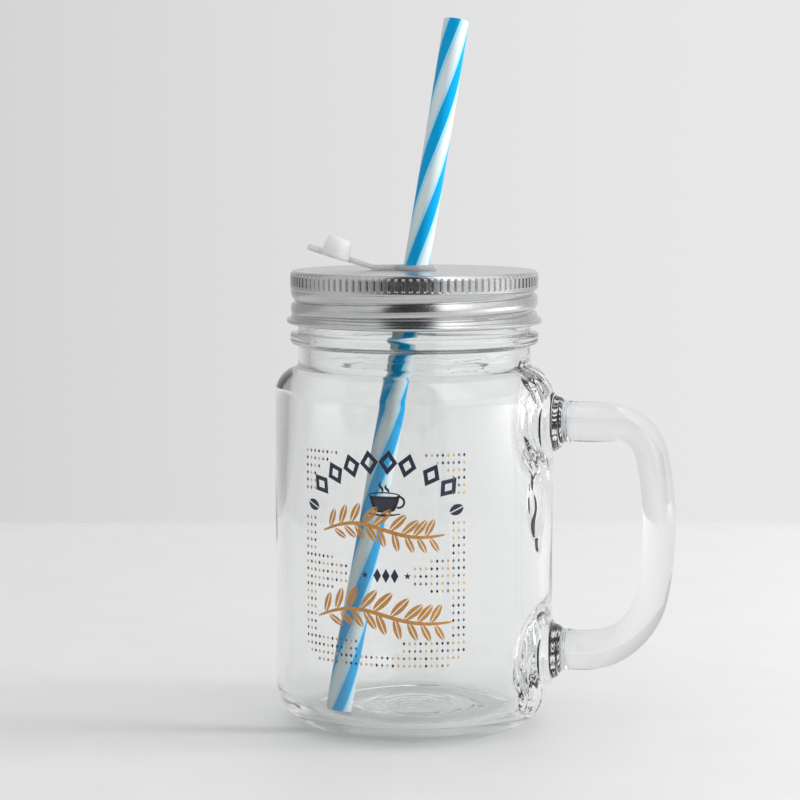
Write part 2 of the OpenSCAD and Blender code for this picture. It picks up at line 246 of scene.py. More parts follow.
def noise_bump(tree, shader, scale, strength, distance, detail=2.0):
    """Fine unevenness of the surface, in the row's own coordinates."""
    coords = add_node(tree, "ShaderNodeTexCoord")
    noise = add_node(tree, "ShaderNodeTexNoise", Scale=scale, Detail=detail)
    bump = add_node(tree, "ShaderNodeBump", Strength=strength, Distance=distance)
    tree.links.new(coords.outputs["Object"], noise.inputs["Vector"])
    tree.links.new(noise.outputs["Fac"], bump.inputs["Height"])
    tree.links.new(bump.outputs["Normal"], shader.inputs["Normal"])
    return noise


def math_node(tree, operation, a, b=None):
    """The output of a maths node; a and b are sockets or plain numbers."""
    node = add_node(tree, "ShaderNodeMath", operation=operation)
    for socket, value in zip(node.inputs, (a, b)):
        if isinstance(value, (int, float)):
            socket.default_value = value
        elif value is not None:
            tree.links.new(value, socket)
    return node.outputs[0]


def map_range(tree, source, low, high, to_low, to_high):
    """The source stretched from low..high to to_low..to_high, and kept within them."""
    node = add_node(tree, "ShaderNodeMapRange")
    for name, value in (("From Min", low), ("From Max", high),
                        ("To Min", to_low), ("To Max", to_high)):
        node.inputs[name].default_value = value
    tree.links.new(source, node.inputs["Value"])
    return node.outputs["Result"]


def ramp(tree, source, stops):
    """A colour ramp with stops (position, colour)."""
    node = tree.nodes.new("ShaderNodeValToRGB")
    elements = node.color_ramp.elements
    while len(elements) < len(stops):
        elements.new(0.5)
    for element, (position, colour) in zip(elements, stops):
        element.position = position
        element.color = (*colour, 1)
    tree.links.new(source, node.inputs["Fac"])
    return node


def mottle(tree, shader, noise, dark, light):
    """Lets the base colour wander between two close shades."""
    colour = ramp(tree, noise.outputs["Fac"], [(0.3, dark), (0.7, light)])
    tree.links.new(colour.outputs["Color"], shader.inputs["Base Color"])


def fade_to_clear(tree, shader, share, tint):
    """Mixes the surface with plain see-through by share, a socket from 0 to 1."""
    clear = add_node(tree, "ShaderNodeBsdfTransparent")
    clear.inputs["Color"].default_value = (*tint, 1)
    mix = add_node(tree, "ShaderNodeMixShader")
    tree.links.new(share, mix.inputs["Fac"])
    tree.links.new(shader.outputs[0], mix.inputs[1])
    tree.links.new(clear.outputs[0], mix.inputs[2])
    tree.links.new(mix.outputs[0], tree.nodes["Material Output"].inputs["Surface"])


def glass_material():
    """Clear glass that lets the lamp's light through to the table."""
    mat, tree, shader = new_material("clear_glass", Roughness=0.0, IOR=1.5)
    shader.inputs["Base Color"].default_value = (0.965, 0.975, 0.97, 1)
    shader.inputs["Transmission Weight"].default_value = 1.0
    noise_bump(tree, shader, 60.0, 0.05, 0.0004)
    path = add_node(tree, "ShaderNodeLightPath")
    fade_to_clear(tree, shader, path.outputs["Is Shadow Ray"], (0.90, 0.905, 0.905))
    return mat


def tinplate_material():
    """Satin metal whose gloss wanders a little."""
    mat, tree, shader = new_material("satin_tinplate", Metallic=1.0, Roughness=0.2)
    noise = noise_bump(tree, shader, 1400.0, 0.05, 0.0001, 3.0)
    mottle(tree, shader, noise, (0.54, 0.545, 0.55), (0.61, 0.615, 0.62))
    rough = map_range(tree, noise.outputs["Fac"], 0.0, 1.0, 0.17, 0.27)
    tree.links.new(rough, shader.inputs["Roughness"])
    return mat


def silicone_material(name, clear):
    """Milky rubber; clear is the share of light that passes straight through."""
    mat, tree, shader = new_material(name, Roughness=0.35, IOR=1.41)
    shader.inputs["Transmission Weight"].default_value = clear
    shader.inputs["Subsurface Weight"].default_value = 1.0
    shader.inputs["Subsurface Radius"].default_value = (0.01, 0.01, 0.01)
    shader.inputs["Subsurface Scale"].default_value = 1.0
    noise = noise_bump(tree, shader, 500.0, 0.08, 0.0001)
    mottle(tree, shader, noise, (0.95, 0.97, 0.98), (0.98, 0.985, 0.985))
    return mat


def seal_material():
    """Matt, cream-coloured sealing compound."""
    mat, tree, shader = new_material("plastisol_seal", Roughness=0.6)
    noise = noise_bump(tree, shader, 400.0, 0.1, 0.0001)
    mottle(tree, shader, noise, (0.80, 0.78, 0.73), (0.87, 0.85, 0.80))
    return mat


STRIPES = 3
STRIPE_PITCH = 100.0    # length of the straw in which one stripe goes once round
STRIPE_PHASE = 0.548    # where a stripe starts, as a share of one stripe's width


def straw_material():
    """Blue stripes that climb right-handed round the straw's own Z axis, on milky white."""
    mat, tree, shader = new_material("striped_straw", Roughness=0.3, IOR=1.49)
    shader.inputs["Specular IOR Level"].default_value = 0.12
    coords = add_node(tree, "ShaderNodeTexCoord")
    split = add_node(tree, "ShaderNodeSeparateXYZ")
    tree.links.new(coords.outputs["Object"], split.inputs[0])
    angle = math_node(tree, "ARCTAN2", split.outputs["Y"], split.outputs["X"])
    turns = math_node(tree, "MULTIPLY", angle, STRIPES / (2 * pi))
    climb = math_node(tree, "MULTIPLY", split.outputs["Z"], -STRIPES / (STRIPE_PITCH * MM))
    place = math_node(tree, "ADD", math_node(tree, "ADD", turns, climb), STRIPE_PHASE)
    blue, pale, milk = (0.0, 0.33, 0.68), (0.36, 0.66, 0.80), (0.62, 0.71, 0.74)
    colour = ramp(tree, math_node(tree, "FRACT", place),
                  [(0.0, pale), (0.015, blue), (0.42, blue), (0.435, pale), (0.53, pale),
                   (0.57, milk), (0.88, milk), (0.93, pale), (1.0, pale)])
    tree.links.new(colour.outputs["Color"], shader.inputs["Base Color"])
    return mat


def ink_material(name, dark, light, alpha):
    """Ink fired on the glass; a lower alpha is a thinner layer."""
    mat, tree, shader = new_material(name, Roughness=0.35)
    noise = noise_bump(tree, shader, 900.0, 0.1, 0.00005)
    mottle(tree, shader, noise, dark, light)
    shader.inputs["Alpha"].default_value = alpha
    return mat


# ---- glass ----

def helix_offset(z, theta, start_deg, start_z, turns):
    """Height above the middle of a right-hand helix, and how far along it a point is (0 to 1)."""
    best = np.full(z.shape, 1e3)
    along = np.zeros(z.shape)
    for k in range(-1, 4):
        phi = np.degrees(theta) + 360 * k
        height = z - (start_z + PITCH * (phi - start_deg) / 360)
        share = (phi - start_deg) / (360 * turns)
        near = (np.abs(height) < np.abs(best)) & (share >= 0) & (share <= 1)
        best = np.where(near, height, best)
        along = np.where(near, share, along)
    return best, along


def soft_waves(theta, z, seed, terms, top_harmonic, reach):
    """Gentle unevenness round the jar: a sum of waves that meets itself all the way round."""
    rng = np.random.default_rng(seed)
    total = np.zeros(theta.shape)
    for _ in range(terms):
        harmonic = rng.integers(1, top_harmonic + 1)
        total += np.sin(harmonic * theta + rng.uniform(0, 2 * pi)
                        + z * rng.uniform(-1, 1) * 2 * pi / reach)
    return total / sqrt(terms)


def crinkle(s, z, seed, wavelength, stretch=1.0):
    """Sharp-creased waves, as in glass that was pushed about while it set; stretch draws them
    out upwards."""
    rng = np.random.default_rng(seed)
    s = s + 0.35 * wavelength * np.sin(z * 2 * pi / (wavelength * 4.1) + rng.uniform(0, 6))
    z = z / stretch
    total = np.zeros(s.shape)
    for _ in range(5):
        a = rng.uniform(0, pi)
        size = wavelength * rng.uniform(0.6, 1.6)
        total += np.abs(np.sin((s * cos(a) + z * sin(a)) * pi / size + rng.uniform(0, 2 * pi)))
    return total / 5 - 0.64


def pad_mask(s, z, z0, half_w, half_h):
    """1 in the middle of the oval where an arm of the handle was pressed on, 0 outside it."""
    return 1 - smoothstep(np.hypot(s / half_w, (z - z0) / half_h), 0.45, 1.0)


def jar_outline():
    """Outside from the middle of the base up to the rim, then inside down to the floor."""
    fillet_c = (NECK_R + NECK_FILLET,
                SHOULDER_C[1] + sqrt((SHOULDER_R + NECK_FILLET) ** 2
                                     - (NECK_R + NECK_FILLET - SHOULDER_C[0]) ** 2))
    lean = degrees(atan2(fillet_c[1] - SHOULDER_C[1], fillet_c[0] - SHOULDER_C[0]))
    base = (rounded([(0, 1.2, 0), (18.6, 1.2, 1.2), (20.8, 0, 0.6), (HEEL[0] + 1.2, 0, 0)])
            + oval(HEEL, BODY_R - HEEL[0], HEEL[1], -77, 0, 24) + [(BODY_R, SHOULDER_C[1])])
    shoulder = (arc(SHOULDER_C, SHOULDER_R, 4, lean, 14)
                + arc(fillet_c, NECK_FILLET, lean + 180, 180, 8))
    neck = rounded([(NECK_R, fillet_c[1] + 0.1, 0), (NECK_R, COLLAR_Z - 1.7, 0.8),
                    (COLLAR_R, COLLAR_Z - 1.7, 1.6), (COLLAR_R, COLLAR_Z + 1.7, 1.6),
                    (FINISH_R, COLLAR_Z + 1.8, 0.6), (FINISH_R, RIM_Z, 1.5),
                    (MOUTH_R, RIM_Z, 1.5), (MOUTH_R, RIM_Z - 4, 0)])
    heel_r, heel_up, heel_w = INNER_HEEL
    inside = (rounded([(MOUTH_R, RIM_Z - 4.5, 0), (MOUTH_R, 102, 3.5), (INNER_R, 98.8, 6.5),
                       (INNER_R, FLOOR_Z + heel_up + 0.5, 0)])
              + oval((heel_r, FLOOR_Z + heel_up), heel_w, heel_up, 0, -90, 24) + [(0, FLOOR_Z)])
    outer = dense(base + shoulder, 0.8) + dense(neck, 0.25)
    return outer + dense(inside, 0.8), len(outer)


# where the handle was pressed on: height, half width, half height, roughness of the folds, seed,
# and how far the folds are drawn out upwards
PADS = [(ARM_TOP_Z, 23, 19, 1.5, 11, 2.2), (ARM_LOW_Z - 2.3, 25, 18, 0.9, 12, 4.5)]
PAD_PUSH = 1.6          # how far the inside bulges inwards there
PAD_SWELL = 0.35        # how far the outside bulges outwards
# place round the wall, height, half width and half height of two more bulges on the inside
TAIL = (-9, 66, 6.5, 13)
DENT = (-8, 53.5, 1.5, 2.2)
SEAMS = [(106.4, 31), (103.5, 32)]      # height and seed of the mould seams round the neck
GROOVE_STEP = 1.3       # from one fine groove on the heel to the next
RING_STEP = 3.0         # from one ring in the floor to the next


def thread_ridge(z, theta):
    """The screw thread on the outside of the neck."""
    height, along = helix_offset(z, theta, THREAD_HEADING, THREAD_Z, THREAD_TURNS)
    fade = smoothstep(along, 0, 0.07) * (1 - smoothstep(along, 0.93, 1))
    ridge = (1 - smoothstep(np.abs(height), 0.45, 1.35)) * fade * THREAD_CREST
    return np.where((z < COLLAR_Z + 2.5) | (z > RIM_Z - 1.4), 0, ridge)


def heel_grooves(r, z, theta):
    """Fine grooves low on the outside, and a deeper one just above the table."""
    zone = smoothstep(z, 1.0, 2.5) * (1 - smoothstep(z, 7, 11))
    fine = 0.08 * zone * np.sin(2 * pi * (z + 0.3 * np.sin(3 * theta)) / GROOVE_STEP)
    deep = 0.5 * np.exp(-((z - 0.95) / 0.3) ** 2)
    return fine - np.where(r < 31, 0, deep)


def neck_seams(s, z, angle):
    """Lumpy seams, clearest between the middle of the front view and the handle."""
    clear = 0.35 + 0.65 * smoothstep(angle, -1.33, -1.2) * (1 - smoothstep(angle, -0.75, -0.55))
    total = np.zeros(s.shape)
    for seam_z, seed in SEAMS:
        lumps = 0.5 + crinkle(s, z * 2, seed, 2.6)
        drift = 0.3 * np.sin(s / 3.1 + seed) + 0.15 * np.sin(s / 1.3)
        total += 0.28 * np.exp(-((z - seam_z - drift) / 0.36) ** 2) * lumps * clear
    return total


def inner_folds(s, z):
    """How far the inside bulges in: with creases behind the handle's joints and in a tail under
    the upper one, and smoothly at a small dent."""
    total = np.zeros(s.shape)
    for z0, half_w, half_h, rough, seed, stretch in PADS:
        clear = smoothstep(np.hypot(s, z - z0), 6, 12)
        folds = rough * clear * crinkle(s, z, seed, 4.0, stretch)
        total += pad_mask(s, z, z0, half_w, half_h) * (PAD_PUSH + folds)
    tail = pad_mask(s - TAIL[0], z, *TAIL[1:])
    total += tail * (0.5 + 0.6 * crinkle(s, z, 13, 4.0, 3.5))
    return total + 0.5 * pad_mask(s - DENT[0], z, *DENT[1:])


def base_relief(r, z, theta, inner):
    """Rings in the heavy floor, and a stippled ring where the jar stands."""
    floor = inner * (1 - smoothstep(r, 16, 18.5))
    wobble = 0.7 * np.sin(2 * theta + 0.7) + 0.4 * np.sin(3 * theta)
    rings = 0.07 * np.sin(2 * pi * (r + wobble) / RING_STEP) * smoothstep(r, 1, 5)
    stipple = ~inner & (z < 1.5) & (r > 27.5)
    return floor * (rings + 0.45) + np.where(stipple, 0.10 * np.abs(np.sin(64 * theta)), 0)


def jar_shape(first_inner):
    """How the lathed grid of the jar is moved; first_inner is the first point of the inside."""
    def shape(r, z, theta, index):
        inner = np.broadcast_to(index >= first_inner, r.shape)
        angle = (theta + pi) % (2 * pi) - pi
        s = BODY_R * angle
        swell = PAD_SWELL * sum(pad_mask(s, z, *pad[:3]) for pad in PADS)
        outside = (thread_ridge(z, theta) + heel_grooves(r, z, theta)
                   + neck_seams(s, z, angle) + swell)
        waves = 0.05 * smoothstep(r, 20, 28) * soft_waves(theta, z, 4, 9, 6, 60)
        grow = np.where(inner, waves - inner_folds(s, z), outside)
        return r + grow * (r > 5), z + base_relief(r, z, theta, inner)
    return shape


ROOT_X = 36.8           # the rod's ends are buried this far from the axis, inside the wall
ROD_HALF = 5.8          # half size of the rod where its spread begins
SAG = 0.5               # share of its spread that the rod lacks on its upper side
GRIP_HALF = 4.6         # half thickness of the grip
# half size of the rod's end by distance from the axis: it spreads where it meets the wall
JOINT_SIZES = [(ROOT_X, 10.0), (38.2, 12.4), (38.9, 12.0), (39.6, 11.0), (40.3, 9.6), (40.9, 8.6),
               (41.6, 8.1), (42.2, 7.8), (42.6, 7.4), (42.8, 6.8), (43.1, 6.3),
               (43.7, 6.0), (44.6, 5.85), (47.0, 5.7)]


def handle_path():
    """Middle line of the glass rod as (x, z) points, from the upper joint to the lower one."""
    reach, mid_z = 70.5, 57.7           # the point of the grip that is furthest out
    corner_r = 11.0
    upper_turn, lower_turn = 77.0, 12.0     # how far the corner turns, and the bow below mid_z
    up, down = radians(upper_turn), radians(lower_turn)
    bow_r = (ARM_TOP_Z - corner_r * (1 - cos(up)) - mid_z) / cos(up)
    bow_c = (reach - bow_r, mid_z)
    corner_c = (bow_c[0] + (bow_r - corner_r) * sin(up), ARM_TOP_Z - corner_r)
    low = (bow_c[0] + bow_r * cos(down), mid_z - bow_r * sin(down))
    low_r = (low[1] - ARM_LOW_Z) / (1 - sin(down))
    low_c = (low[0] - low_r * cos(down), ARM_LOW_Z + low_r)
    line = ([(ROOT_X, ARM_TOP_Z), (corner_c[0] - 0.5, ARM_TOP_Z)]
            + arc(corner_c, corner_r, 90, 90 - upper_turn, 20)
            + arc(bow_c, bow_r, 90 - upper_turn - 0.7, 0.7 - lower_turn, 40)
            + arc(low_c, low_r, -lower_turn, -90, 32)
            + [(low_c[0] - 0.5, ARM_LOW_Z), (ROOT_X, ARM_LOW_Z)])
    return np.array(dense(line, 0.45))


def handle_rod():
    """The bent rod with its spread ends, as a closed tube."""
    sides = 128
    line = handle_path()
    ahead = np.gradient(line, axis=0)
    ahead /= np.linalg.norm(ahead, axis=1)[:, None]
    normal = np.stack([-ahead[:, 1], ahead[:, 0]], 1)
    size = np.interp(line[:, 0], *zip(*JOINT_SIZES))
    grip = smoothstep(line[:, 0], 50, 68)
    thick = size * (1 - grip) + GRIP_HALF * grip
    broad = size + 0.3 * smoothstep(line[:, 0], 43, 60)
    verts = []
    for p, n, t, w in zip(line, normal, thick, broad):
        sagged = t - SAG * max(0, t - ROD_HALF)
        for k in range(sides):
            c, s = cos(2 * pi * k / sides), sin(2 * pi * k / sides)
            out = (sagged if n[1] * c > 0 else t) * c
            verts.append((p[0] + n[0] * out, w * s, p[1] + n[1] * out))
    return mesh_object("rod", verts, tube_faces(len(line), sides))


def build_glass(material):
    """Jar and handle as one piece of glass."""
    profile, first_inner = jar_outline()
    jar = lathe("jar_and_handle", profile, 256, jar_shape(first_inner))
    unite(jar, handle_rod())
    jar.data.shade_smooth()
    jar.data.set_sharp_from_angle(angle=radians(50))
    add_piece(jar, "jar", material, ("jar_glass", "handle"))


# ---- lid ----

ROLL_Z = 119.06         # middle of the rolled thread at the left of the front view
HOLE_R = 4.9            # of the hole in the lid, whose edge is hidden in the grommet
SLOT_DEPTH = 0.75       # of the upright grip slots in the knurled band
# section of the rolled thread: (height above its middle, change of radius), repeated each PITCH
ROLL = [(-2.60, -0.62), (-2.00, -0.20), (-1.40, 0.02), (-0.50, 0.10), (0.30, 0.04), (0.90, -0.12),
        (1.30, -0.36), (1.46, -0.90), (1.62, -1.00), (2.48, -0.62)]


def lid_outline():
    """Closed profile of the thin sheet: outside, hem, then inside back to the hole."""
    outer = rounded([(HOLE_R, LID_TOP, 0), (LID_R, LID_TOP, 1.3), (LID_R, 124.4, 0.3),
                     (LID_R - 0.2, 124.2, 0.3), (LID_R - 0.2, 117.0, 0.6), (35.18, 116.1, 0)])
    hem = arc(HEM_C, HEM_TUBE, 108, -188, 22)
    inner = rounded([(LID_R - 0.2 - SHEET, 116.2, 0), (LID_R - 0.2 - SHEET, 124.2, 0.3),
                     (LID_R - SHEET, 124.5, 0.3), (LID_R - SHEET, LID_TOP - SHEET, 1.0),
                     (HOLE_R, LID_TOP - SHEET, 0)])
    panel = [HOLE_R, 10, 20, 30]
    return ([(r, LID_TOP) for r in panel] + dense(outer[1:], 0.14) + hem
            + dense(inner[:-1], 0.5) + [(r, LID_TOP - SHEET) for r in reversed(panel)])


def lid_shape(r, z, theta, index):
    """The rolled thread, a convex band that climbs to the right with a crease above it, and the
    upright grip slots over it."""
    left = radians(180 + VIEW_AZIMUTH)
    height = z - ROLL_Z - PITCH * (theta - left) / (2 * pi)
    height = (height + 2.6) % PITCH - 2.6
    roll = np.interp(height, *zip(*ROLL))
    zone = smoothstep(z, 116.6, 117.4) * (1 - smoothstep(z, 123.9, 124.5))
    skirt = (r > 34) & (z < 124.6)
    r = r + np.where(skirt, roll * zone, 0)
    phase = (theta * RIBS / (2 * pi)) % 1
    slot = np.interp(phase, [0, 0.30, 0.42, 0.58, 0.70, 1], [0, 0, 1, 1, 0, 0])
    tall = smoothstep(z, 124.9, 125.5) * (1 - smoothstep(z, 128.0, 128.8))
    return r - SLOT_DEPTH * slot * tall * (r > 33), z


def build_lid(material):
    """The screw lid of thin sheet."""
    lid = lathe("lid", lid_outline(), RIBS * 10, lid_shape, loop=True)
    lid.data.set_sharp_from_angle(angle=radians(60))
    add_piece(lid, "lid", material, ("lid_shell",))


# ---- grommet, strap, stopper ----

def straw_matrix():
    """The straw's own axis, with its origin where it crosses the lid's top."""
    return (Matrix.Translation((*(v * MM for v in HOLE), LID_TOP * MM))
            @ Matrix.Rotation(radians(STRAW_HEADING), 4, "Z")
            @ Matrix.Rotation(radians(STRAW_TILT), 4, "Y"))


def strap_matrix(tilt):
    """Frame on the fold line of the strap: x outwards, z up."""
    fold_z = LID_TOP + 0.2 + STRAP_T / 2
    return (Matrix.Rotation(radians(STRAP_HEADING), 4, "Z")
            @ Matrix.Translation((FOLD_D * MM, 0, fold_z * MM))
            @ Matrix.Rotation(radians(-tilt), 4, "Y"))


def build_grommet(material):
    """A soft ring in the lid's hole, whose inner edge leans with the straw."""
    hole = STRAW_R + 0.06
    low = LID_TOP - SHEET
    profile = rounded([(hole, LID_TOP - 1.9, 0), (6.6, LID_TOP - 1.8, 0.5), (6.6, low - 0.02, 0.3),
                       (4.85, low - 0.02, 0.1), (4.85, LID_TOP + 0.02, 0.1),
                       (5.9, LID_TOP + 0.02, 0.2), (5.85, LID_TOP + 1.3, 0.6),
                       (4.3, LID_TOP + 1.5, 0.4), (hole, LID_TOP + 1.3, 0)])
    profile = dense(profile, 0.5)
    heading, slope = radians(STRAW_HEADING), tan(radians(STRAW_TILT))

    obj = lathe("grommet", profile, 96, loop=True)
    obj.data.transform(Matrix.Translation((HOLE[0] * MM, HOLE[1] * MM, 0)))
    for v in obj.data.vertices:
        radius = hypot(v.co.x / MM - HOLE[0], v.co.y / MM - HOLE[1])
        pull = 1 - min(1, max(0, (radius - hole) / 0.9))
        shift = (v.co.z - LID_TOP * MM) * slope * pull
        v.co.x += shift * cos(heading)
        v.co.y += shift * sin(heading)
    add_piece(obj, "lid", material, ("grommet",))


def box_mesh(name, size, centre, bevel):
    """A box with round edges, in millimetres."""
    bm = bmesh.new()
    bmesh.ops.create_cube(bm, size=1, matrix=Matrix.Translation(Vector(centre) * MM)
                          @ Matrix.Diagonal((*[s * MM for s in size], 1)))
    bmesh.ops.bevel(bm, geom=bm.edges[:], offset=bevel * MM, segments=3, affect="EDGES")
    mesh = bpy.data.meshes.new(name)
    bm.to_mesh(mesh)
    bm.free()
    obj = bpy.data.objects.new(name, mesh)
    bpy.context.scene.collection.objects.link(obj)
    return obj


def build_strap(material):
    """The bending strap, from the grommet's flange to the stopper's plate."""
    half_width = 2.2
    rest_bend, swing_bend = 1.8, 2.2        # how far the bend reaches on each side of the fold
    flat, tilt = strap_matrix(0), strap_matrix(STRAP_TILT)
    rows = []
    for x in np.arange(-6.6, 7.61, 0.355):
        share = float(smoothstep(x, -rest_bend, rest_bend))
        p = (flat @ Vector((x * MM, 0, 0))).lerp(tilt @ Vector((x * MM, 0, 0)), share)
        up = (flat.to_3x3() @ Vector((0, 0, 1))).lerp(tilt.to_3x3() @ Vector((0, 0, 1)), share)
        waist = 1 - 0.18 * np.exp(-(x / 2.2) ** 2)
        thick = STRAP_T * 1.3 * (1 - 0.12 * np.exp(-(x / 2.0) ** 2))
        rows.append((p, up.normalized(), half_width * waist, thick / 2))
    across = flat.to_3x3() @ Vector((0, 1, 0))
    sides, verts = 20, []
    for p, up, half_w, half_t in rows:
        for k in range(sides):
            a = 2 * pi * k / sides
            c, s = cos(a), sin(a)
            u = half_w * np.sign(c) * abs(c) ** 0.45
            v = half_t * np.sign(s) * abs(s) ** 0.55
            verts.append((p + across * u * MM + up * v * MM) / MM)
    obj = mesh_object("stopper_strap", verts, tube_faces(len(rows), sides))
    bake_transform(obj)
    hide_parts("strap_root", "strap")
    obj.data.materials.append(material)


def build_stopper(material):
    """Plate, plug and pull tab as one moulding with soft edges. X runs from the fold outwards."""
    plate_r, plate_x, half = 4.9, 11.5, 0.8
    tab_w, tab_end, tip_r, tip_half = 4.8, 19.6, 2.5, 0.85
    disc = rounded([(0, -half, 0), (plate_r, -half, 0.4), (plate_r, half, 0.4), (0, half, 0)])
    plug = rounded([(0, -0.2, 0), (4.0, -0.2, 0), (3.95, half + 0.1, 0), (3.7, half + 3.0, 0.2),
                    (3.3, half + 4.2, 1.0), (1.4, half + 4.5, 1.2), (0, half + 4.5, 0)])
    tip_x = tab_end - tip_r
    tab = box_mesh("tab", (tip_x - plate_x, tab_w, 2 * half), ((tip_x + plate_x) / 2, 0, 0), 0.3)
    tip = lathe("tip", rounded([(0, -tip_half, 0), (tip_r, -tip_half, 0.4),
                                (tip_r, tip_half, 0.4), (0, tip_half, 0)]), 48)
    body = lathe("stopper", dense(disc, 0.6), 72)
    post = lathe("post", dense(plug, 0.5), 72)
    for part in (body, post):
        part.data.transform(Matrix.Translation((plate_x * MM, 0, 0)))
    tip.data.transform(Matrix.Translation((tip_x * MM, 0, 0)))
    unite(body, post, tab, tip)
    remesh = body.modifiers.new("even", "REMESH")
    remesh.mode, remesh.voxel_size = "VOXEL", 0.0002
    soften = body.modifiers.new("soft", "SMOOTH")
    soften.factor, soften.iterations = 0.5, 6
    evaluated_mesh(body)
    body.data.transform(strap_matrix(STRAP_TILT))
    body.data.shade_smooth()
    add_piece(body, "stopper", material, ("stopper_plug", "pull_tab"))


def build_straw(material):
    """An open tube on its own leaning axis."""
    profile = rounded([(STRAW_R - STRAW_WALL, -STRAW_BELOW, 0), (STRAW_R, -STRAW_BELOW, 0.15),
                       (STRAW_R, STRAW_ABOVE, 0.15), (STRAW_R - STRAW_WALL, STRAW_ABOVE, 0)])
    straw = lathe("drinking_straw", dense(profile, 4.0), 64, loop=True)
    straw.data.set_sharp_from_angle(angle=radians(60))
    place = straw_matrix()
    # a slight bow towards the left of the front view, less in the lower end
    left = place.to_3x3().inverted() @ camera_frame(-1, 0, 0)
    for v in straw.data.vertices:
        share = v.co.z / (STRAW_ABOVE * MM) if v.co.z > 0 else v.co.z / (STRAW_BELOW * MM) * 0.8
        v.co += left * (STRAW_BOW * MM * share ** 2)
    straw.matrix_world = place
    add_piece(straw, "straw", material, ("straw",))


# ---- decoration: a plain geometric and leafy print ----

class Art:
    """Flat shapes as quads in (distance round the wall, height), laid on the glass as thin ink."""

    def __init__(self):
        self.quads = []

    def band(self, left, right):
        """Quads between two polylines with the same number of points."""
        for i in range(len(left) - 1):
            self.quads.append((left[i], left[i + 1], right[i + 1], right[i]))

    def stroke(self, points, widths, closed=False):
        """A line of changing width."""
        p = np.array(points, float)
        ahead = np.gradient(p, axis=0)
        if closed:
            ahead[0] = ahead[-1] = p[1] - p[-2]
        ahead /= np.linalg.norm(ahead, axis=1)[:, None]
        side = np.stack([-ahead[:, 1], ahead[:, 0]], 1) * (np.array(widths)[:, None] / 2)
        self.band([tuple(q) for q in p + side], [tuple(q) for q in p - side])

    def leaf(self, x, z, length, width, turn, vein=0.0):
        """A pointed oval, split along its middle when it has a vein."""
        t = np.linspace(-0.5, 0.5, 9)
        half = width / 2 * np.sqrt(np.clip(1 - (2 * t) ** 2, 0, 1)) * (1 - 0.25 * np.abs(t))
        c, s = cos(radians(turn)), sin(radians(turn))

        def place(u, v):
            return (x + u * c - v * s, z + u * s + v * c)

        for side in (-1, 1):
            edge = [place(length * a, side * max(b, vein / 2)) for a, b in zip(t, half)]
            middle = [place(length * a, side * vein / 2) for a in t]
            self.band(edge, middle)

    def lozenge(self, x, z, w, h, line, turn):
        """An outlined diamond; a line of half its width fills it."""
        c, s = cos(radians(turn)), sin(radians(turn))

        def tips(w, h):
            corners = [(w / 2, 0), (0, h / 2), (-w / 2, 0), (0, -h / 2), (w / 2, 0)]
            return [(x + u * c - v * s, z + u * s + v * c) for u, v in corners]

        scale = max(0.0, 1 - 2 * line / w)
        self.band(tips(w, h), tips(w * scale, h * scale))

    def star(self, x, z, radius):
        """A plain star with five points."""
        reach = (radius, radius * 0.42)
        p = [(x + reach[i % 2] * sin(pi * i / 5), z + reach[i % 2] * cos(pi * i / 5))
             for i in range(10)]
        for i in range(0, 10, 2):
            self.quads.append(((x, z), p[i - 1], p[i], p[i + 1]))

    def build(self, name, material, slot, replaces=()):
        """Closed sheet of ink that follows the wall."""
        low, high = BODY_R + 0.02, BODY_R + 0.07
        verts, faces = [], []
        for quad in self.quads:
            start = len(verts)
            for radius in (low, high):
                for s, z in quad:
                    a = -pi / 2 + s / BODY_R
                    verts.append((radius * cos(a), radius * sin(a), z))
            n = len(quad)
            faces.append(tuple(start + i for i in reversed(range(n))))
            faces.append(tuple(start + n + i for i in range(n)))
            faces += [(start + i, start + (i + 1) % n, start + n + (i + 1) % n, start + n + i)
                      for i in range(n)]
        mesh = bpy.data.meshes.new(name)
        mesh.from_pydata([tuple(c * MM for c in v) for v in verts], [], faces)
        mesh.validate()
        obj = bpy.data.objects.new(name, mesh)
        bpy.context.scene.collection.objects.link(obj)
        add_piece(obj, "jar", material, replaces)


def draw_cup(art, x, z):
    """A steaming cup on its saucer."""
    rows = np.linspace(0, 1, 9)
    half = 1.7 + 2.5 * np.sqrt(rows) ** 0.8
    art.band([(x - w, z + 1.0 + 4.4 * t) for t, w in zip(rows, half)],
             [(x + w, z + 1.0 + 4.4 * t) for t, w in zip(rows, half)])
    ring = np.linspace(0, 2 * pi, 25)
    art.stroke([(x + 4.25 * cos(a), z + 5.6 + 0.8 * sin(a)) for a in ring], [0.35] * 25, True)
    ear = np.linspace(-1.9, 1.9, 15)
    art.stroke([(x + 3.9 + 1.5 * cos(a), z + 3.9 + 1.5 * sin(a)) for a in ear], [0.6] * 15)
    saucer = np.linspace(-1, 1, 13)
    art.stroke([(x + 4.4 * t, z + 0.25 + 0.45 * t * t) for t in saucer],
               [0.75 - 0.5 * abs(t) for t in saucer])
    for shift, height in ((-0.9, 3.2), (0.7, 2.4)):
        t = np.linspace(0, 1, 11)
        art.stroke([(x + shift + 0.45 * sin(2 * pi * a), z + 6.2 + height * a) for a in t],
                   [0.15 + 0.55 * sin(pi * a) for a in t])


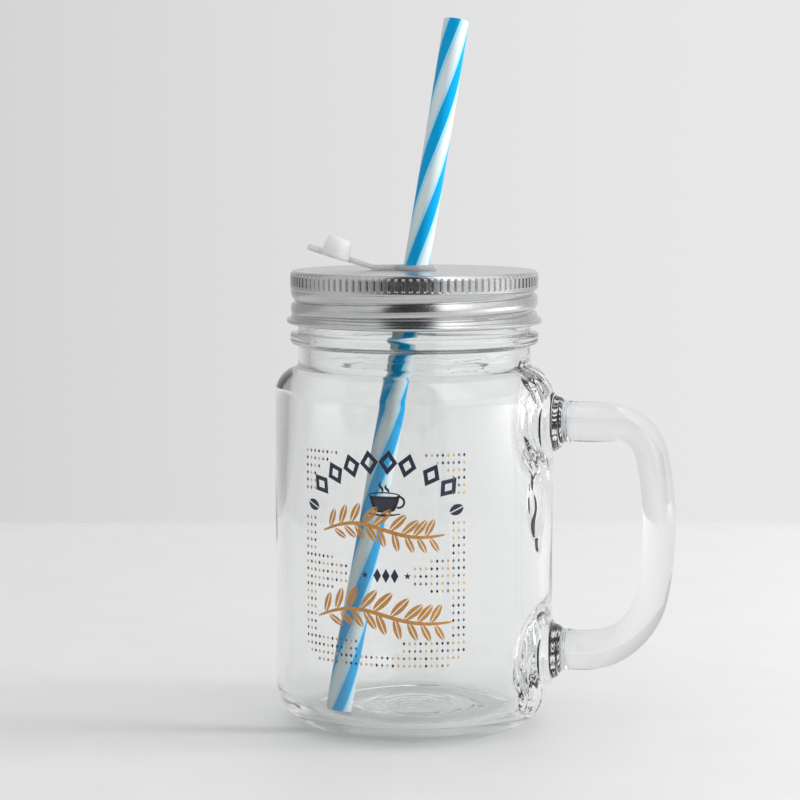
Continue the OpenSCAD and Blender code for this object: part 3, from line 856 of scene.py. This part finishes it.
def draw_sprig(art, x0, x1, z0, bend, size):
    """A leafy twig painted with a round brush."""
    t = np.linspace(0, 1, 33)
    x = x0 + (x1 - x0) * t
    z = z0 + bend * np.sin(pi * t) + 1.6 * np.sin(2 * pi * t)
    art.stroke(list(zip(x, z)), 0.35 + 0.75 * np.sin(pi * t) ** 0.5)
    for i in range(9):
        k = 2 + int(i * 29 / 9)
        slope = degrees(atan2(z[k + 1] - z[k - 1], x[k + 1] - x[k - 1]))
        for side in (1, -1):
            turn = slope + side * (52 + 4 * (i % 3))
            reach = size * (1 - 0.05 * abs(i - 4)) * (1 if side > 0 else 0.85)
            cx = x[k] + 0.56 * reach * cos(radians(turn)) + (0 if side > 0 else 1.2)
            cz = z[k] + 0.56 * reach * sin(radians(turn))
            art.leaf(cx, cz, reach, 0.36 * reach, turn, 0.28)


ARCH_C, ARCH_R = (0.3, 52.1), 27.6      # the arch of lozenges over the print
ARCH_TURNS = (42, 30, 18.5, 7.5, -3.5, -14.5, -29, -41)
CUP_AT = (1.0, 65.0)
BEAN_Z = 66.7           # height of the two beans beside the cup
FOOT_X, FOOT_Z = 1.4, 48.7              # middle of the short row under the cup
# the frame of small marks: rows upwards from the foot, columns from left to right
MARK_ROWS, ROW_STEP, MARK_FOOT_Z = 29, 2.057, 24.0
MARK_COLUMNS, COLUMN_STEP = 32, 1.5
FRAME_HALF = 24.0       # half width of the frame
BLANK_HALF = 19.4       # half width of the blank inside it, for most rows
BLANK_ROWS = {0: 0, 1: 0, 2: 5.5, 3: 5.5, 10: 14.0, 11: 9.0, 12: 9.0, 13: 9.0, 14: 14.0,
              26: 17.5, 27: 15.0, 28: 11.5}


def frame_marks():
    """Places of the small marks, each with a number from 0 to 9 that picks its ink."""
    rng = np.random.default_rng(21)
    marks = []
    for row in range(MARK_ROWS):
        z = MARK_FOOT_Z + row * ROW_STEP
        blank = BLANK_ROWS.get(row, BLANK_HALF)
        outer = FRAME_HALF - 2.2 * max(0, 2 - row)
        for column in range(MARK_COLUMNS):
            s = (column - (MARK_COLUMNS - 1) / 2) * COLUMN_STEP
            if blank < abs(s) < outer and abs(z - BEAN_Z) > 2.6:
                marks.append((s - 0.4, z, rng.integers(0, 10)))
    return marks


def draw_dark(art):
    """Arch, beans, cup and the short row under it."""
    for turn in ARCH_TURNS:
        a = radians(turn)
        art.lozenge(ARCH_C[0] - ARCH_R * sin(a), ARCH_C[1] + ARCH_R * cos(a), 5.2, 6.8, 1.4, turn)
    for side in (-1, 1):
        art.leaf(side * 20.9 - 0.2, BEAN_Z, 4.2, 3.0, side * 25, 0.35)
    draw_cup(art, *CUP_AT)
    for k in (-1, 0, 1):
        art.lozenge(FOOT_X + 2.4 * k, FOOT_Z, 2.1, 4.0, 2.0, 0)
    for side in (-1, 1):
        art.star(FOOT_X + 5.9 * side, FOOT_Z, 1.0)


def build_print(navy, ochre, pale_navy, pale_ochre):
    """Four pieces, one for each ink."""
    dark, twigs, faint_dark, faint_ochre = Art(), Art(), Art(), Art()
    draw_dark(dark)
    draw_sprig(twigs, -17.5, 17.5, 60.0, 1.5, 6.6)
    draw_sprig(twigs, -19.5, 19.5, 36.0, 2.0, 7.4)
    for s, z, ink in frame_marks():
        art = dark if ink < 3 else faint_dark if ink < 6 else faint_ochre
        art.lozenge(s, z, 0.8, 1.1, 0.4, 0)
    dark.build("print_dark", navy, "navy_ink", ("print_navy",))
    twigs.build("print_twigs", ochre, "ochre_ink", ("print_ochre",))
    faint_dark.build("print_faint_dark", pale_navy, "navy_ink")
    faint_ochre.build("print_faint_ochre", pale_ochre, "ochre_ink")


# ---- stage ----

def camera_frame(x, y, z):
    """A point given across, away from the camera and up, in metres, in the row's frame."""
    a = radians(VIEW_AZIMUTH)
    return Vector((x * cos(a) - y * sin(a), x * sin(a) + y * cos(a), z))


def build_camera():
    """The photo's own viewpoint, fitted to it: metres, and degrees below the level."""
    place, down = (-0.00406, -0.6347, 0.1607), 6.146
    data = bpy.data.cameras.new("camera")
    data.sensor_width = 36.0
    data.lens = 100.6
    data.clip_end = 20.0
    camera = bpy.data.objects.new("camera", data)
    camera.location = camera_frame(*place)
    camera.rotation_euler = (radians(90 - down), 0, radians(VIEW_AZIMUTH))
    bpy.context.scene.collection.objects.link(camera)
    bpy.context.scene.camera = camera


def build_floor():
    """A pale table whose far edge melts into the backdrop."""
    far, near, side = 0.352, -0.75, 1.6
    mesh = bpy.data.meshes.new("table_top")
    corners = [(-side, near, 0), (side, near, 0), (side, far, 0), (-side, far, 0)]
    mesh.from_pydata(corners, [], [(0, 1, 2, 3)])
    floor = bpy.data.objects.new("table_top", mesh)
    floor.rotation_euler.z = radians(VIEW_AZIMUTH)
    bpy.context.scene.collection.objects.link(floor)
    mat, tree, shader = new_material("pale_table", Roughness=0.5)
    noise = noise_bump(tree, shader, 40.0, 0.02, 0.001)
    mottle(tree, shader, noise, (0.78, 0.78, 0.78), (0.80, 0.80, 0.80))
    coords = add_node(tree, "ShaderNodeTexCoord")
    split = add_node(tree, "ShaderNodeSeparateXYZ")
    tree.links.new(coords.outputs["Object"], split.inputs[0])
    melt = map_range(tree, split.outputs["Y"], far - 0.026, far, 0.0, 1.0)
    fade_to_clear(tree, shader, melt, (1, 1, 1))
    mesh.materials.append(mat)


def area_light(name, place, size, power, target=(0, 0, 0.07)):
    """A soft light that is not itself mirrored in the metal or the glass."""
    data = bpy.data.lights.new(name, "AREA")
    data.shape, data.size, data.size_y = "RECTANGLE", size[0], size[1]
    data.energy = power
    light = bpy.data.objects.new(name, data)
    light.location = camera_frame(*place)
    light.rotation_euler = (Vector(target) - light.location).to_track_quat("-Z", "Y").to_euler()
    light.visible_glossy = light.visible_transmission = False
    bpy.context.scene.collection.objects.link(light)


def greys(tree, source, *stops):
    """The colour of a ramp of plain greys (position, grey)."""
    return ramp(tree, source, [(place, (grey,) * 3) for place, grey in stops]).outputs["Color"]


def light_around(tree, x, y):
    """Light from behind and beside the object, by compass direction: 0.25 is left, 0.5 behind
    and 0.75 right."""
    compass = map_range(tree, math_node(tree, "ARCTAN2", x, y), -pi, pi, 0.0, 1.0)
    return greys(tree, compass, (0.10, 0.80), (0.25, 0.70), (0.30, 0.46), (0.394, 0.43),
                 (0.42, 0.50), (0.444, 0.58), (0.472, 0.664), (0.489, 0.72), (0.516, 0.797),
                 (0.528, 0.807), (0.65, 0.66), (0.70, 0.80), (0.74, 0.92), (0.90, 0.92))


def light_ahead(tree, x, y, z):
    """Light from in front of the object and overhead, by how far to the side, from left to
    right. Below the horizon it falls to 0.3 of its strength."""
    front = math_node(tree, "MAXIMUM", math_node(tree, "MULTIPLY", y, -0.9), 0.0)
    aside = math_node(tree, "DIVIDE", x, math_node(tree, "ADD", front, 0.3))
    share = map_range(tree, aside, -1.2, 1.2, 0.0, 1.0)
    grey = greys(tree, share, (0.0, 0.70), (0.25, 0.85), (0.29, 0.80), (0.33, 0.04),
                 (0.61, 0.04), (0.66, 2.1), (0.8, 1.9), (1.0, 1.2))
    lifted = add_node(tree, "ShaderNodeVectorMath", operation="SCALE")
    tree.links.new(grey, lifted.inputs[0])
    tree.links.new(map_range(tree, z, -0.03, 0.08, 0.3, 1.0), lifted.inputs["Scale"])
    return lifted.outputs[0]


def mixed(tree, share, first, second):
    """The colour that goes from first to second as share goes from 0 to 1."""
    node = add_node(tree, "ShaderNodeMixRGB")
    for name, value in (("Fac", share), ("Color1", first), ("Color2", second)):
        if isinstance(value, tuple):
            node.inputs[name].default_value = value
        else:
            tree.links.new(value, node.inputs[name])
    return node.outputs["Color"]


def build_world():
    """Backdrop behind, a reflector on the left, a soft box on the right, and a dark gap between
    them where the photographer stands. X points right, Y away from the camera."""
    world = bpy.data.worlds.new("studio")
    world.use_nodes = True
    bpy.context.scene.world = world
    tree = world.node_tree
    coords = add_node(tree, "ShaderNodeTexCoord")
    turn = add_node(tree, "ShaderNodeMapping", vector_type="POINT")
    turn.inputs["Rotation"].default_value = (0, 0, -radians(VIEW_AZIMUTH))
    split = add_node(tree, "ShaderNodeSeparateXYZ")
    tree.links.new(coords.outputs["Generated"], turn.inputs["Vector"])
    tree.links.new(turn.outputs[0], split.inputs[0])
    x, y, z = (split.outputs[k] for k in "XYZ")

    over = math_node(tree, "SUBTRACT", math_node(tree, "MULTIPLY", z, 1.3), y)
    overhead = map_range(tree, over, 0.35, 0.65, 0.0, 1.0)
    seen = mixed(tree, overhead, light_around(tree, x, y), light_ahead(tree, x, y, z))
    # matte surfaces get the room's even light, without the dark gap
    matte = add_node(tree, "ShaderNodeLightPath").outputs["Is Diffuse Ray"]
    colour = mixed(tree, matte, seen, (0.72, 0.72, 0.72, 1))
    tree.links.new(colour, tree.nodes["Background"].inputs["Color"])


def build_studio():
    """Viewpoint, table and light."""
    build_camera()
    build_floor()
    build_world()
    area_light("soft_right", (1.1, -0.06, 0.36), (0.26, 0.26), 14.0)
    scene = bpy.context.scene
    scene.view_settings.view_transform = "Standard"
    # thick glass needs long light paths
    scene.cycles.max_bounces = scene.cycles.transmission_bounces = 32
    scene.cycles.glossy_bounces = 24


# ---- everything ----

def dress_seal():
    """The seal keeps the CAD's own mesh."""
    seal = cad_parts["lid_liner"]
    seal.data.materials.clear()
    seal.data.materials.append(seal_material())


build_studio()
build_glass(glass_material())
build_lid(tinplate_material())
silicone = silicone_material("translucent_silicone", 0.2)
build_grommet(silicone_material("clear_silicone", 0.5))
build_strap(silicone)
build_stopper(silicone)
build_straw(straw_material())
build_print(ink_material("navy_ink", (0.010, 0.014, 0.035), (0.018, 0.024, 0.055), 0.95),
            ink_material("ochre_ink", (0.50, 0.22, 0.035), (0.62, 0.30, 0.06), 0.85),
            ink_material("faint_navy_ink", (0.10, 0.11, 0.15), (0.16, 0.17, 0.21), 0.7),
            ink_material("faint_ochre_ink", (0.62, 0.38, 0.14), (0.70, 0.45, 0.18), 0.6))
dress_seal()
